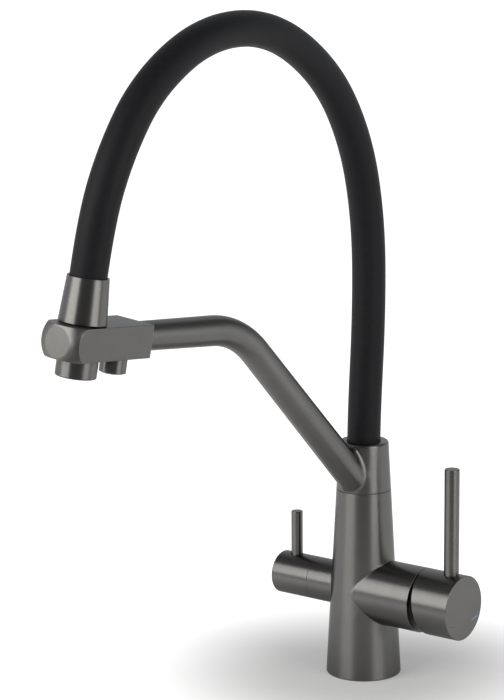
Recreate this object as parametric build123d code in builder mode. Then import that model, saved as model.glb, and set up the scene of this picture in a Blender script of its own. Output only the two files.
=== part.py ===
from build123d import *
from math import asin, cos, degrees, radians, sin, tan
import os

os.makedirs("parts", exist_ok=True)

# A deck-mounted kitchen tap with a lever mixer on its right, a quarter-turn valve for filtered water
# on its left, and a swivelling arm whose head block is fed by a self-supporting flexible hose.
# Millimetres. Z is up, the deck is at Z 0, X runs through both valves and -Y is the front.

# Shared fits
cut_overrun = 1.0
running_clearance = 0.05
face_clearance = 0.05
disc_clearance = 0.02
set_screw_diameter = 4.0
set_screw_length = 7.5
hex_socket_diameter = 2.0
hex_socket_depth = 2.5

# Column: one cone from the deck to the top of the swivelling collar
base_diameter = 50.0
seam_diameter = 36.4
seam_height = 126.5
collar_rim_round = 1.8
collar_blank_extra = 9.0
base_edge_round = 0.8
branch_junction_round = 0.7
base_recess_diameter = 42.0
base_recess_depth = 12.0
deck_seal_width = 1.8
deck_seal_thickness = 1.5
deck_seal_wall = 1.1

# Water ways drilled in the column
port_thread_diameter = 10.0
port_thread_depth = 10.0
stud_thread_diameter = 8.0
stud_thread_depth = 14.0
supply_way_diameter = 6.0
supply_way_reach = 3.0
supply_way_spread = 11.0
supply_way_drop = 3.8
mixed_way_diameter = 7.6
mixed_way_rise = 8.0
filtered_inlet_reach = 14.5
filtered_inlet_diameter = 5.0
filtered_way_diameter = 3.2
filtered_way_reach = 6.3

# Both valves lie on one level axis
valve_height = 57.8
mixer_diameter = 43.0
mixer_branch_reach = 49.0
filter_diameter = 28.7
filter_branch_reach = 36.9

# Swivel spigot, screwed into the column, which the collar turns on. Its rings, lock groove and top are
# set out from the middle of the gallery that passes filtered water to the arm.
spigot_diameter = 21.0
spigot_root = 20.5
spigot_ring_rises = (-5.0, 5.0, 12.8)
spigot_top_rise = 15.1
ring_section = 2.0
ring_groove_width = 2.2
gallery_width = 5.4
gallery_depth = 1.9
lock_rise = 9.0
lock_groove_width = 2.8
lock_groove_depth = 1.8
lock_tip_diameter = 2.5
lock_tip_clearance = 0.15
glide_ring_thickness = 0.5
glide_ring_inset = 0.6

# Collar above the spigot: a chamber, a web and the socket of the hose
collar_chamber_height = 1.0
collar_web_thickness = 2.5
hose_socket_depth = 6.2
hose_socket_clearance = 0.25

# Arm: a rising run, a bend and a nearly level run out to the head block
arm_rise = 44.4
arm_tilt = 7.1
arm_axis_drop = 2.4
arm_corner_reach = 136.3
arm_bend_radius = 75.0
arm_root_reach = 8.0
arm_root_diameter = 20.8
arm_bend_diameter = 19.0
arm_end_diameter = 17.9
arm_bore_diameter = 12.0
arm_bore_reach = 21.0
arm_junction_round = 3.5
arm_tenon_diameter = 14.8
arm_tenon_length = 8.0
filtered_tube_diameter = 6.0
filtered_tube_bore = 4.0
filtered_tube_reach = 13.0
tube_hole_clearance = 0.1

# Head block and what hangs on it
block_back_reach = 236.0
block_length = 68.0
block_width = 29.0
block_height = 20.0
block_edge_round = 0.5
block_roll = 5.0
main_outlet_setback = 20.0
outlet_spacing = 32.8
end_flat_radius = 9.0
end_round_radius = 10.0
end_round_inset = 1.4
ferrule_thread_diameter = 18.0
ferrule_thread_depth = 7.0
ferrule_gap = 0.9
ferrule_height = 26.6
ferrule_base_diameter = 28.8
ferrule_rim_diameter = 24.8
ferrule_edge_round = 0.3
ferrule_floor_height = 12.0
main_way_diameter = 9.8
aerator_thread_diameter = 22.0
aerator_thread_depth = 6.5
aerator_diameter = 24.4
aerator_height = 11.1
aerator_bore = 18.6
aerator_edge_round = 0.8
aerator_lip = 1.6
aerator_lip_width = 0.6
aerator_hole_diameter = 1.8
aerator_hole_spacing = 2.7
aerator_hole_count = 5
aerator_insert_depth = 3.0
outlet_seal_thickness = 1.0
outlet_thread_diameter = 13.6
outlet_diameter = 16.1
outlet_height = 10.2
outlet_bore = 10.4
outlet_insert_rim = 13.2
outlet_insert_proud = 0.7
outlet_insert_bore = 7.6
outlet_feed_diameter = 4.6
outlet_feed_rise = 3.0

# Flexible hose, from inside out
hose_diameter = 22.1
hose_sleeve_bore = 16.9
coil_outer_diameter = 16.6
coil_inner_diameter = 13.9
inner_hose_diameter = 12.0
inner_hose_bore = 8.3
nipple_tail_diameter = 8.2
nipple_tail_length = 9.5
nipple_thread_length = 2.5
nipple_bore = 6.0
crimp_sleeve_diameter = 13.6
crimp_sleeve_length = 9.0

# Corners of the hose's path: reach from the column, offset to the right and rise from the socket's floor
hose_route = [
    (0.0, 0.0, 20.0),
    (-6.0, 0.0, 92.0),
    (-5.0, 0.0, 152.5),
    (10.5, 1.0, 207.5),
    (46.0, 3.0, 254.5),
    (107.0, 5.5, 288.5),
    (173.5, 8.0, 291.0),
    (230.0, 9.5, 265.5),
    (261.0, 9.5, 228.5),
]
hose_last_run = 28.3
hose_bend_share = 0.45

# Mixer cartridge, measured along X from the tap's axis
cartridge_seat_reach = 9.0
cartridge_pocket_diameter = 36.0
cartridge_seal_thickness = 1.0
cartridge_seal_bore = 6.8
cartridge_seal_diameter = 9.2
cartridge_diameter = 35.0
cartridge_floor = 3.0
cartridge_bore = 31.0
cartridge_shoulder_reach = 36.0
cartridge_neck_reach = 38.0
cartridge_neck_diameter = 27.0
cartridge_mouth_diameter = 19.0
cartridge_roof = 2.0
fixed_disc_diameter = 30.6
fixed_disc_thickness = 3.0
moving_disc_diameter = 22.0
moving_disc_thickness = 3.0
moving_disc_pocket = 12.0
moving_disc_pocket_depth = 1.5
disc_carrier_thickness = 3.6
pivot_reach = 28.0
stem_foot_arm = 7.0
stem_foot_diameter = 3.6
stem_foot_clearance = 0.15
stem_neck_diameter = 2.4
stem_width = 7.0
stem_height = 6.0
stem_inner_arm = 3.7
stem_end_reach = 68.0
stem_side_clearance = 0.05
rotor_diameter = 30.4
rotor_base_gap = 0.2
rotor_roof_gap = 0.2
rotor_neck_diameter = 18.6
rotor_neck_reach = 37.0
rotor_slot_half = 4.8
rotor_slot_past_pivot = 2.0
rotor_mouth_up = 3.6
rotor_mouth_down = 8.2
stem_pin_diameter = 3.0
stem_pin_length = 16.0
nut_end_reach = 44.0
nut_bore = 27.2
cover_end_reach = 48.0
cover_diameter = 35.4
cover_bore = 28.0

# Mixer handle and lever
handle_end_reach = 79.5
handle_gap_top = 0.6
handle_gap_bottom = 8.0
handle_bore = 39.6
handle_web_reach = 62.0
handle_boss_reach = 56.0
handle_boss_diameter = 16.0
handle_edge_round = 0.4
stem_socket_clearance = 0.05
stem_socket_end_gap = 0.5
mixer_lever_reach = 69.7
mixer_lever_diameter = 9.9
mixer_lever_top_height = 150.0
mixer_lever_root = 8.0
lever_edge_round = 0.5
handle_screw_reach = 65.0
mark_length = 7.0
mark_width = 0.9
mark_depth = 0.3
mark_spread = 13.2
mark_drop = 9.8
mark_slope = 15.0

# Filter valve, measured along -X from the tap's axis
filter_pocket_reach = 12.0
filter_pocket_diameter = 18.4
filter_seal_thickness = 1.0
filter_seal_bore = 7.0
filter_cell_diameter = 16.6
filter_disc_diameter = 16.0
filter_fixed_thickness = 2.5
filter_moving_thickness = 2.4
filter_disc_port = 4.0
filter_disc_port_offset = 4.2
spindle_flange_diameter = 15.4
spindle_flange_thickness = 3.0
spindle_flange_gap = 0.2
headwork_flange_diameter = 22.4
headwork_flange_thickness = 3.0
spindle_diameter = 8.0
spindle_end_reach = 54.0
spindle_ring_reach = 30.0
spindle_ring_section = 1.3
spindle_ring_groove = 1.6
circlip_gap = 0.2
circlip_thickness = 1.0
circlip_diameter = 10.6
circlip_groove_depth = 0.8
filter_handle_gap = 0.3
filter_handle_end_reach = 66.6
filter_handle_bore = 25.0
filter_handle_web_reach = 45.0
filter_handle_edge_round = 1.0
filter_lever_reach = 55.0
filter_lever_diameter = 7.8
filter_lever_top_height = 102.0
filter_lever_root = 7.0
filter_lever_seat_diameter = 9.0
filter_lever_seat_depth = 0.8
filter_screw_reach = 49.5

# Radii of the round pieces
base_radius = base_diameter / 2
seam_radius = seam_diameter / 2
mixer_radius = mixer_diameter / 2
filter_radius = filter_diameter / 2
spigot_radius = spigot_diameter / 2
hose_radius = hose_diameter / 2
set_screw_radius = set_screw_diameter / 2
filtered_tube_radius = filtered_tube_diameter / 2


def cone_radius(height):
    """Outer radius of the column's cone at one height."""
    return base_radius - (base_radius - seam_radius) * height / seam_height


def turn(outline, plane=Plane.XY, mode=Mode.ADD):
    """Turn an outline of (radius, height) points about the plane's own Z axis."""
    with BuildSketch(Plane(plane.origin, x_dir=plane.x_dir, z_dir=-plane.y_dir)) as profile:
        with BuildLine():
            Polyline(*outline, close=True)
        make_face()
    revolve(profile.sketch, axis=Axis(plane.origin, plane.z_dir), mode=mode)


def rod(radius, low, high, plane=Plane.XY, mode=Mode.ADD):
    """A round bar, or a drilled hole, between two heights on the plane's own Z axis."""
    with Locations(plane.offset(low)):
        Cylinder(radius, high - low, align=(Align.CENTER, Align.CENTER, Align.MIN), mode=mode)


def ring(inner, outer, low, high, plane=Plane.XY, mode=Mode.ADD):
    """A flat-ended ring or groove about the plane's own Z axis."""
    turn([(inner, low), (outer, low), (outer, high), (inner, high)], plane, mode)


def upright(x, y):
    """A vertical axis standing on the deck at one place."""
    return Plane((x, y, 0))


def right_axis(y, height):
    """A level axis that runs to the right, along X."""
    return Plane((0, y, height), x_dir=(0, 1, 0), z_dir=(1, 0, 0))


def set_screw(plane, low):
    """A headless screw that stands on a height of the plane, with its hexagon socket outwards."""
    rod(set_screw_radius, low, low + set_screw_length, plane)
    socket = low + set_screw_length - hex_socket_depth
    with BuildSketch(plane.offset(socket)) as hexagon:
        RegularPolygon(hex_socket_diameter / 2, 6, major_radius=False)
    extrude(hexagon.sketch, amount=hex_socket_depth + cut_overrun, mode=Mode.SUBTRACT)


# Heights that follow from the seam, and from one another
arm_axis_height = seam_height - arm_axis_drop
rise_slope = tan(radians(arm_rise))
gallery_height = arm_axis_height + spigot_radius * rise_slope
spigot_seat_height = seam_height - spigot_root
spigot_ring_heights = [gallery_height + rise for rise in spigot_ring_rises]
spigot_top_height = gallery_height + spigot_top_rise
lock_height = gallery_height + lock_rise
collar_web_height = spigot_top_height + collar_chamber_height
hose_socket_height = collar_web_height + collar_web_thickness
collar_top_height = hose_socket_height + hose_socket_depth

# The main axes
mixer_axis = right_axis(0, valve_height)
filter_axis = Plane((0, 0, valve_height), x_dir=(0, -1, 0), z_dir=(-1, 0, 0))
mixed_way_height = valve_height + mixed_way_rise
supply_way_height = valve_height - supply_way_drop

# Arm frame: its first axis runs out from the column to the front, its second is up
arm_frame = Plane((0, 0, 0), x_dir=(0, -1, 0), z_dir=(-1, 0, 0))


def on_rise(reach):
    """A point of the arm's rising axis."""
    return (reach, arm_axis_height + reach * rise_slope)


arm_corner = on_rise(arm_corner_reach)
arm_end_height = arm_corner[1] + (block_back_reach - arm_corner_reach) * tan(radians(arm_tilt))

# Head frame: X out along the arm, Z up along the hose end, turned a little about the arm
out_direction = Vector(0, -cos(radians(arm_tilt)), sin(radians(arm_tilt)))
block_back = Vector(0, -block_back_reach, arm_end_height)
head_up = Vector(
    sin(radians(block_roll)),
    sin(radians(arm_tilt)) * cos(radians(block_roll)),
    cos(radians(arm_tilt)) * cos(radians(block_roll)),
)
head = Plane(
    block_back + out_direction * (block_length - main_outlet_setback),
    x_dir=out_direction,
    z_dir=head_up,
)
filter_outlet = Plane(head.origin - head.x_dir * outlet_spacing, x_dir=head.x_dir, z_dir=head.z_dir)
along_block = Plane(head.origin, x_dir=head.y_dir, z_dir=head.x_dir)
block_top = block_height / 2
block_tail = main_outlet_setback - block_length
ferrule_base = block_top + ferrule_gap
ferrule_rim = ferrule_base + ferrule_height
ferrule_floor = ferrule_base + ferrule_floor_height
thread_end = aerator_thread_depth - block_top

# Column

with BuildPart() as body:
    turn([(0, 0), (base_radius, 0), (seam_radius, seam_height), (0, seam_height)])
    fillet(body.edges().filter_by(GeomType.CIRCLE).sort_by(Axis.Z)[0], base_edge_round)
    rod(mixer_radius, 0, mixer_branch_reach, mixer_axis)
    rod(filter_radius, 0, filter_branch_reach, filter_axis)
    fillet(body.edges().filter_by(GeomType.BSPLINE), branch_junction_round)
    rod(base_recess_diameter / 2, -cut_overrun, base_recess_depth, mode=Mode.SUBTRACT)
    seal_outer = base_radius - deck_seal_wall
    ring(seal_outer - deck_seal_width, seal_outer, -cut_overrun, deck_seal_thickness, mode=Mode.SUBTRACT)
    rod(cartridge_pocket_diameter / 2, cartridge_seat_reach, mixer_branch_reach + cut_overrun,
        mixer_axis, Mode.SUBTRACT)
    rod(filter_pocket_diameter / 2, filter_pocket_reach, filter_branch_reach + cut_overrun,
        filter_axis, Mode.SUBTRACT)
    rod(spigot_radius, spigot_seat_height, seam_height + cut_overrun, mode=Mode.SUBTRACT)
    rod(mixed_way_diameter / 2, mixed_way_height, spigot_seat_height + cut_overrun, mode=Mode.SUBTRACT)
    rod(mixed_way_diameter / 2, 0, cartridge_seat_reach + cut_overrun,
        right_axis(0, mixed_way_height), Mode.SUBTRACT)
    for side in (-supply_way_spread, supply_way_spread):
        rod(supply_way_diameter / 2, base_recess_depth, supply_way_height,
            upright(supply_way_reach, side), Mode.SUBTRACT)
        rod(supply_way_diameter / 2, supply_way_reach, cartridge_seat_reach + cut_overrun,
            right_axis(side, supply_way_height), Mode.SUBTRACT)
        rod(port_thread_diameter / 2, base_recess_depth - cut_overrun, base_recess_depth + port_thread_depth,
            upright(supply_way_reach, side), Mode.SUBTRACT)
    rod(filtered_inlet_diameter / 2, base_recess_depth, valve_height,
        upright(-filtered_inlet_reach, 0), Mode.SUBTRACT)
    rod(port_thread_diameter / 2, base_recess_depth - cut_overrun, base_recess_depth + port_thread_depth,
        upright(-filtered_inlet_reach, 0), Mode.SUBTRACT)
    rod(filtered_way_diameter / 2, filtered_way_reach, filter_pocket_reach + cut_overrun,
        filter_axis, Mode.SUBTRACT)
    rod(filtered_way_diameter / 2, valve_height, spigot_seat_height + cut_overrun,
        upright(-filtered_way_reach, 0), Mode.SUBTRACT)
    rod(stud_thread_diameter / 2, base_recess_depth - cut_overrun, base_recess_depth + stud_thread_depth,
        mode=Mode.SUBTRACT)
body.part.label = "body"
export_step(body.part, "parts/body.step")

with BuildPart() as deck_seal:
    ring(seal_outer - deck_seal_width, seal_outer, 0, deck_seal_thickness)
deck_seal.part.label = "deck_seal"
export_step(deck_seal.part, "parts/deck_seal.step")

# Swivel

with BuildPart() as swivel_spigot:
    rod(spigot_radius, spigot_seat_height, spigot_top_height)
    for height in spigot_ring_heights:
        ring(spigot_radius - ring_section, spigot_radius + cut_overrun, height - ring_groove_width / 2,
             height + ring_groove_width / 2, mode=Mode.SUBTRACT)
    ring(spigot_radius - gallery_depth, spigot_radius + cut_overrun, gallery_height - gallery_width / 2,
         gallery_height + gallery_width / 2, mode=Mode.SUBTRACT)
    ring(spigot_radius - lock_groove_depth, spigot_radius + cut_overrun, lock_height - lock_groove_width / 2,
         lock_height + lock_groove_width / 2, mode=Mode.SUBTRACT)
    rod(mixed_way_diameter / 2, spigot_seat_height - cut_overrun, spigot_top_height + cut_overrun,
        mode=Mode.SUBTRACT)
    rod(filtered_way_diameter / 2, spigot_seat_height - cut_overrun, gallery_height,
        upright(-filtered_way_reach, 0), Mode.SUBTRACT)
    rod(filtered_way_diameter / 2, filtered_way_reach, spigot_radius,
        Plane((0, 0, gallery_height), x_dir=(0, -1, 0), z_dir=(-1, 0, 0)), Mode.SUBTRACT)
swivel_spigot.part.label = "swivel_spigot"
export_step(swivel_spigot.part, "parts/swivel_spigot.step")

with BuildPart() as spigot_o_rings:
    with Locations(*[(0, 0, height) for height in spigot_ring_heights]):
        Torus(spigot_radius - ring_section / 2, ring_section / 2)
spigot_o_rings.part.label = "spigot_o_rings"
export_step(spigot_o_rings.part, "parts/spigot_o_rings.step")

with BuildPart() as glide_ring:
    ring(spigot_radius + running_clearance, seam_radius - glide_ring_inset, seam_height,
         seam_height + glide_ring_thickness)
glide_ring.part.label = "glide_ring"
export_step(glide_ring.part, "parts/glide_ring.step")

collar_bottom = seam_height + glide_ring_thickness + face_clearance
collar_bore_radius = spigot_radius + running_clearance
back_axis = Plane((0, 0, lock_height), x_dir=(1, 0, 0), z_dir=(0, 1, 0))
tube_hole_radius = filtered_tube_radius + tube_hole_clearance

with BuildPart() as swivel_arm:
    blank_bottom = collar_bottom - collar_blank_extra
    turn([(0, blank_bottom), (cone_radius(blank_bottom), blank_bottom),
          (cone_radius(collar_top_height), collar_top_height), (0, collar_top_height)])
    fillet(swivel_arm.edges().filter_by(GeomType.CIRCLE).sort_by(Axis.Z)[-1], collar_rim_round)
    with BuildLine(arm_frame) as arm_route:
        FilletPolyline(on_rise(arm_root_reach), arm_corner, (block_back_reach, arm_end_height),
                       radius=arm_bend_radius)
    rise_run, level_run = arm_route.edges().filter_by(GeomType.LINE).sort_by(Axis.Z)
    bend_run = arm_route.edges().filter_by(GeomType.CIRCLE)[0]
    rise_start, rise_end = rise_run.vertices().sort_by(Axis.Z)
    level_start, level_end = level_run.vertices().sort_by(Axis.Z)
    rise_direction = Vector(rise_end) - Vector(rise_start)
    with Locations(Plane(Vector(rise_start), z_dir=rise_direction)):
        Cone(arm_root_diameter / 2, arm_bend_diameter / 2, rise_direction.length,
             align=(Align.CENTER, Align.CENTER, Align.MIN))
    fillet(swivel_arm.edges(Select.NEW).filter_by(GeomType.BSPLINE), arm_junction_round)
    rod(base_radius, blank_bottom - cut_overrun, collar_bottom, mode=Mode.SUBTRACT)
    with BuildSketch(Plane(Vector(rise_end), z_dir=rise_direction)) as bend_section:
        Circle(arm_bend_diameter / 2)
    sweep(bend_section.sketch, path=bend_run)
    with Locations(Plane(Vector(level_start), z_dir=out_direction)):
        Cone(arm_bend_diameter / 2, arm_end_diameter / 2, level_run.length,
             align=(Align.CENTER, Align.CENTER, Align.MIN))
    rod(arm_tenon_diameter / 2, 0, arm_tenon_length, Plane(block_back, z_dir=out_direction))
    with BuildLine(arm_frame) as bore_route:
        FilletPolyline(on_rise(arm_bore_reach), arm_corner, (block_back_reach, arm_end_height),
                       radius=arm_bend_radius)
    bore_start = arm_frame.from_local_coords(Vector(*on_rise(arm_bore_reach)))
    with BuildSketch(Plane(bore_start, z_dir=rise_direction)) as bore_section:
        Circle(arm_bore_diameter / 2)
    sweep(bore_section.sketch, path=bore_route.wire(), mode=Mode.SUBTRACT)
    rod(arm_bore_diameter / 2, -cut_overrun, arm_tenon_length + cut_overrun,
        Plane(block_back, z_dir=out_direction), Mode.SUBTRACT)
    rod(collar_bore_radius, collar_bottom - cut_overrun, collar_web_height, mode=Mode.SUBTRACT)
    rod(main_way_diameter / 2, collar_web_height - cut_overrun, hose_socket_height, mode=Mode.SUBTRACT)
    rod(hose_radius + hose_socket_clearance, hose_socket_height, collar_top_height + cut_overrun,
        mode=Mode.SUBTRACT)
    tube_start = arm_frame.from_local_coords(Vector(*on_rise(0)))
    rod(tube_hole_radius, spigot_radius, arm_bore_reach / cos(radians(arm_rise)) + cut_overrun,
        Plane(tube_start, z_dir=rise_direction), Mode.SUBTRACT)
    rod(set_screw_radius, 0, seam_radius + cut_overrun, back_axis, Mode.SUBTRACT)
swivel_arm.part.label = "swivel_arm"
export_step(swivel_arm.part, "parts/swivel_arm.step")

with BuildPart() as collar_lock_screw:
    lock_seat = collar_bore_radius + face_clearance
    set_screw(back_axis, lock_seat)
    rod(lock_tip_diameter / 2, spigot_radius - lock_groove_depth + lock_tip_clearance, lock_seat, back_axis)
collar_lock_screw.part.label = "collar_lock_screw"
export_step(collar_lock_screw.part, "parts/collar_lock_screw.step")

with BuildPart() as filtered_water_tube:
    tube_end = head.origin + head.x_dir * (outlet_feed_diameter / 2 - outlet_spacing - filtered_tube_radius)
    tube_end_local = arm_frame.to_local_coords(tube_end)
    with BuildLine(arm_frame) as tube_route:
        FilletPolyline(on_rise(filtered_tube_reach), arm_corner, (tube_end_local.X, tube_end_local.Y),
                       radius=arm_bend_radius)
    tube_root = arm_frame.from_local_coords(Vector(*on_rise(filtered_tube_reach)))
    with BuildSketch(Plane(tube_root, z_dir=rise_direction)) as tube_section:
        Circle(filtered_tube_radius)
        Circle(filtered_tube_bore / 2, mode=Mode.SUBTRACT)
    sweep(tube_section.sketch, path=tube_route.wire())
filtered_water_tube.part.label = "filtered_water_tube"
export_step(filtered_water_tube.part, "parts/filtered_water_tube.step")

# Head block: a bar whose outer end is turned about its own length, to a round that starts at a flat disc

with BuildPart() as head_block:
    with BuildSketch(head.offset(-block_top)) as bar:
        with Locations((main_outlet_setback, 0)):
            Rectangle(block_length, block_width, align=(Align.MAX, Align.CENTER))
    extrude(bar.sketch, amount=block_height)
    fillet(head_block.edges().filter_by(Axis(head.origin, head.x_dir)), block_edge_round)
    flat_angle = degrees(asin(end_round_inset / end_round_radius))
    round_centre = (main_outlet_setback - end_round_radius * cos(radians(flat_angle)),
                    end_flat_radius - end_round_inset)
    with BuildSketch(Plane(head.origin, x_dir=head.x_dir, z_dir=-head.y_dir)) as beyond_round:
        with BuildLine():
            end_round = CenterArc(round_centre, end_round_radius, flat_angle, 90 - flat_angle)
            Polyline(end_round @ 1, (round_centre[0], block_width),
                     (main_outlet_setback + cut_overrun, block_width),
                     (main_outlet_setback + cut_overrun, end_flat_radius), end_round @ 0)
        make_face()
    revolve(beyond_round.sketch, axis=Axis(head.origin, head.x_dir), mode=Mode.SUBTRACT)
    rod(main_way_diameter / 2, -block_top - cut_overrun, block_top + cut_overrun, head, Mode.SUBTRACT)
    rod(ferrule_thread_diameter / 2, block_top - ferrule_thread_depth, block_top + cut_overrun,
        head, Mode.SUBTRACT)
    rod(aerator_thread_diameter / 2, -block_top - cut_overrun, thread_end, head, Mode.SUBTRACT)
    rod(outlet_thread_diameter / 2, -block_top - cut_overrun, thread_end, filter_outlet, Mode.SUBTRACT)
    rod(outlet_feed_diameter / 2, -block_top, outlet_feed_rise, filter_outlet, Mode.SUBTRACT)
    rod(arm_tenon_diameter / 2, block_tail - cut_overrun, block_tail + arm_tenon_length,
        along_block, Mode.SUBTRACT)
    rod(tube_hole_radius, block_tail, -outlet_spacing, along_block, Mode.SUBTRACT)
head_block.part.label = "head_block"
export_step(head_block.part, "parts/head_block.step")

with BuildPart() as aerator_housing:
    aerator_low = -block_top - aerator_height
    turn([(aerator_bore / 2, thread_end - outlet_seal_thickness),
          (aerator_thread_diameter / 2, thread_end - outlet_seal_thickness),
          (aerator_thread_diameter / 2, -block_top), (aerator_diameter / 2, -block_top),
          (aerator_diameter / 2, aerator_low), (aerator_bore / 2 + aerator_lip_width, aerator_low),
          (aerator_bore / 2, aerator_low + aerator_lip)], head)
    lower_rim = aerator_housing.edges().filter_by(GeomType.CIRCLE)
    lower_rim = lower_rim.group_by(Axis(head.origin, head.z_dir))[0]
    fillet(lower_rim.sort_by(SortBy.RADIUS)[-1], aerator_edge_round)
aerator_housing.part.label = "aerator_housing"
export_step(aerator_housing.part, "parts/aerator_housing.step")

with BuildPart() as aerator_insert:
    insert_low = aerator_low + aerator_lip
    rod(aerator_bore / 2, insert_low, insert_low + aerator_insert_depth, head)
    with BuildSketch(head.offset(insert_low)) as jets:
        with HexLocations(aerator_hole_spacing / 2, aerator_hole_count, aerator_hole_count):
            Circle(aerator_hole_diameter / 2)
    extrude(jets.sketch, amount=aerator_insert_depth, mode=Mode.SUBTRACT)
aerator_insert.part.label = "aerator_insert"
export_step(aerator_insert.part, "parts/aerator_insert.step")

with BuildPart() as aerator_seal:
    ring(aerator_bore / 2, aerator_thread_diameter / 2, thread_end - outlet_seal_thickness, thread_end, head)
aerator_seal.part.label = "aerator_seal"
export_step(aerator_seal.part, "parts/aerator_seal.step")

with BuildPart() as filter_outlet_housing:
    outlet_low = -block_top - outlet_height
    turn([(outlet_bore / 2, thread_end - outlet_seal_thickness),
          (outlet_thread_diameter / 2, thread_end - outlet_seal_thickness),
          (outlet_thread_diameter / 2, -block_top), (outlet_diameter / 2, -block_top),
          (outlet_diameter / 2, outlet_low), (outlet_bore / 2, outlet_low)], filter_outlet)
filter_outlet_housing.part.label = "filter_outlet_housing"
export_step(filter_outlet_housing.part, "parts/filter_outlet_housing.step")

with BuildPart() as filter_outlet_insert:
    turn([(outlet_insert_bore / 2, outlet_low - outlet_insert_proud),
          (outlet_insert_rim / 2, outlet_low - outlet_insert_proud), (outlet_insert_rim / 2, outlet_low),
          (outlet_bore / 2, outlet_low), (outlet_bore / 2, -block_top),
          (outlet_insert_bore / 2, -block_top)], filter_outlet)
filter_outlet_insert.part.label = "filter_outlet_insert"
export_step(filter_outlet_insert.part, "parts/filter_outlet_insert.step")

with BuildPart() as filter_outlet_seal:
    ring(outlet_bore / 2, outlet_thread_diameter / 2, thread_end - outlet_seal_thickness, thread_end,
         filter_outlet)
filter_outlet_seal.part.label = "filter_outlet_seal"
export_step(filter_outlet_seal.part, "parts/filter_outlet_seal.step")

# Hose and its end fittings

with BuildPart() as hose_ferrule:
    thread_low = block_top - ferrule_thread_depth
    turn([(main_way_diameter / 2, thread_low), (ferrule_thread_diameter / 2, thread_low),
          (ferrule_thread_diameter / 2, ferrule_base), (ferrule_base_diameter / 2, ferrule_base),
          (ferrule_rim_diameter / 2, ferrule_rim), (hose_radius + hose_socket_clearance, ferrule_rim),
          (hose_radius + hose_socket_clearance, ferrule_floor),
          (main_way_diameter / 2, ferrule_floor)], head)
    ferrule_edges = hose_ferrule.edges().filter_by(GeomType.CIRCLE)
    fillet(ferrule_edges.group_by(SortBy.RADIUS)[-1], ferrule_edge_round)
hose_ferrule.part.label = "hose_ferrule"
export_step(hose_ferrule.part, "parts/hose_ferrule.step")

hose_start = Vector(0, 0, hose_socket_height)
hose_end = head.origin + head.z_dir * ferrule_floor
last_bend = head.origin + head.z_dir * (ferrule_rim + hose_last_run)
hose_points = [hose_start]
hose_points += [Vector(offset, -reach, hose_socket_height + rise) for reach, offset, rise in hose_route]
hose_points += [last_bend, hose_end]
hose_runs = [after - before for before, after in zip(hose_points, hose_points[1:])]
hose_radii = [
    hose_bend_share * min(before.length, after.length) / tan(radians(before.get_angle(after)) / 2)
    for before, after in zip(hose_runs, hose_runs[1:])
]
print("hose bend radii", [round(radius) for radius in hose_radii])

with BuildLine() as hose_line:
    FilletPolyline(*hose_points, radius=hose_radii)
hose_mouth = Plane(hose_start, z_dir=hose_runs[0])

with BuildPart() as hose_sleeve:
    with BuildSketch(hose_mouth):
        Circle(hose_radius)
        Circle(hose_sleeve_bore / 2, mode=Mode.SUBTRACT)
    sweep(path=hose_line.wire())
hose_sleeve.part.label = "hose_sleeve"
export_step(hose_sleeve.part, "parts/hose_sleeve.step")

with BuildPart() as support_coil:
    with BuildSketch(hose_mouth):
        Circle(coil_outer_diameter / 2)
        Circle(coil_inner_diameter / 2, mode=Mode.SUBTRACT)
    sweep(path=hose_line.wire())
support_coil.part.label = "support_coil"
export_step(support_coil.part, "parts/support_coil.step")

with BuildPart() as inner_hose:
    with BuildSketch(hose_mouth):
        Circle(inner_hose_diameter / 2)
        Circle(inner_hose_bore / 2, mode=Mode.SUBTRACT)
    sweep(path=hose_line.wire())
inner_hose.part.label = "inner_hose"
export_step(inner_hose.part, "parts/inner_hose.step")


def nipple(plane, floor):
    """A threaded tail that the inner hose is pushed over, standing on a socket's floor."""
    thread = floor - nipple_thread_length
    tail = floor + nipple_tail_length
    turn([(nipple_bore / 2, thread), (main_way_diameter / 2, thread), (main_way_diameter / 2, floor),
          (nipple_tail_diameter / 2, floor), (nipple_tail_diameter / 2, tail), (nipple_bore / 2, tail)],
         plane)


with BuildPart() as hose_nipple_base:
    nipple(Plane.XY, hose_socket_height)
hose_nipple_base.part.label = "hose_nipple_base"
export_step(hose_nipple_base.part, "parts/hose_nipple_base.step")

with BuildPart() as hose_nipple_head:
    nipple(head, ferrule_floor)
hose_nipple_head.part.label = "hose_nipple_head"
export_step(hose_nipple_head.part, "parts/hose_nipple_head.step")

with BuildPart() as crimp_sleeves:
    for plane, floor in ((Plane.XY, hose_socket_height), (head, ferrule_floor)):
        ring(inner_hose_diameter / 2, crimp_sleeve_diameter / 2, floor, floor + crimp_sleeve_length, plane)
crimp_sleeves.part.label = "crimp_sleeves"
export_step(crimp_sleeves.part, "parts/crimp_sleeves.step")

# Mixer cartridge

cartridge_base = cartridge_seat_reach + cartridge_seal_thickness
disc_seat = cartridge_base + cartridge_floor
moving_disc_seat = disc_seat + fixed_disc_thickness + disc_clearance
carrier_seat = moving_disc_seat + moving_disc_thickness
cartridge_roof_inside = cartridge_shoulder_reach - cartridge_roof
cartridge_ports = [(-supply_way_spread, supply_way_height), (supply_way_spread, supply_way_height),
                   (0, mixed_way_height)]

with BuildPart() as cartridge_seals:
    for y, height in cartridge_ports:
        ring(cartridge_seal_bore / 2, cartridge_seal_diameter / 2, cartridge_seat_reach, cartridge_base,
             right_axis(y, height))
cartridge_seals.part.label = "cartridge_seals"
export_step(cartridge_seals.part, "parts/cartridge_seals.step")

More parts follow.
